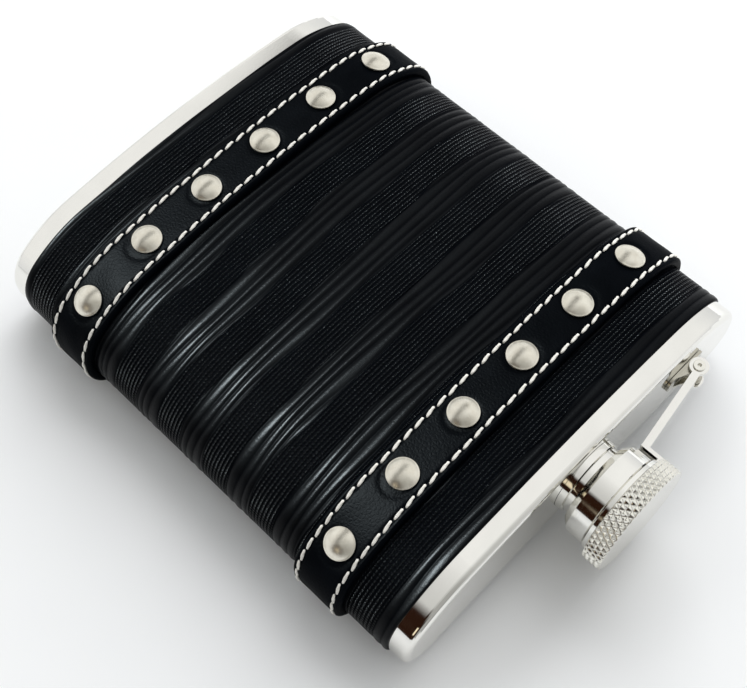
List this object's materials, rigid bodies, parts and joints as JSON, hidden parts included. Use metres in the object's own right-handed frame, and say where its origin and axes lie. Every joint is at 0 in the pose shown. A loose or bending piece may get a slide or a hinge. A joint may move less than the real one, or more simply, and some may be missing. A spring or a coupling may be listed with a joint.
{
  "type": "hip flask",
  "caption": "Flat curved steel hip flask with a captive knurled screw cap on a hinged arm, a black leather wrap and studded, stitched straps.",
  "frame": {"origin": "middle of the bounding box on the plane that the flask lies on, under the straps at the back's long edges", "axes": "+Y runs up the flask to its cap, +Z out of its domed front, +X across it, with the arm's hinge on the -X side of the neck; the flask lies on its back"},
  "size_m": [0.096, 0.12, 0.0276],
  "materials": {
    "steel": "polished stainless steel",
    "nickel": "satin nickel plate",
    "wrap_leather": "embossed with fine ridges, satin",
    "strap_leather": "smooth, satin, turned edges",
    "thread": "waxed cream thread",
    "seal": "matt translucent white silicone"
  },
  "bodies": {
    "flask": {"body_shell": "steel", "top_plate": "steel", "base_plate": "steel", "neck_tube": "steel", "neck_collar": "steel", "hinge_bracket": "steel", "hinge_pin": "steel", "leather_wrap": "wrap_leather", "strap_lower": "strap_leather", "strap_upper": "strap_leather", "stitches_lower": "thread", "stitches_upper": "thread", "studs_lower": "nickel", "studs_upper": "nickel", "stud_backs_lower": "nickel", "stud_backs_upper": "nickel"},
    "arm": {"cap_arm": "steel"},
    "cap": {"cap_skirt": "steel", "cap_head": "steel", "cap_gasket": "seal"}
  },
  "joints": [
    {"name": "arm_swing", "type": "hinge", "parent": "flask", "child": "arm", "pos_m": [-0.0298, 0.04915, 0.01383], "axis": [0, 0, 1], "range_deg": [0, 174]},
    {"name": "cap_turn", "type": "hinge", "parent": "arm", "child": "cap", "pos_m": [0, 0.0555, 0.01383], "axis": [0, 1, 0], "continuous": true}
  ]
}
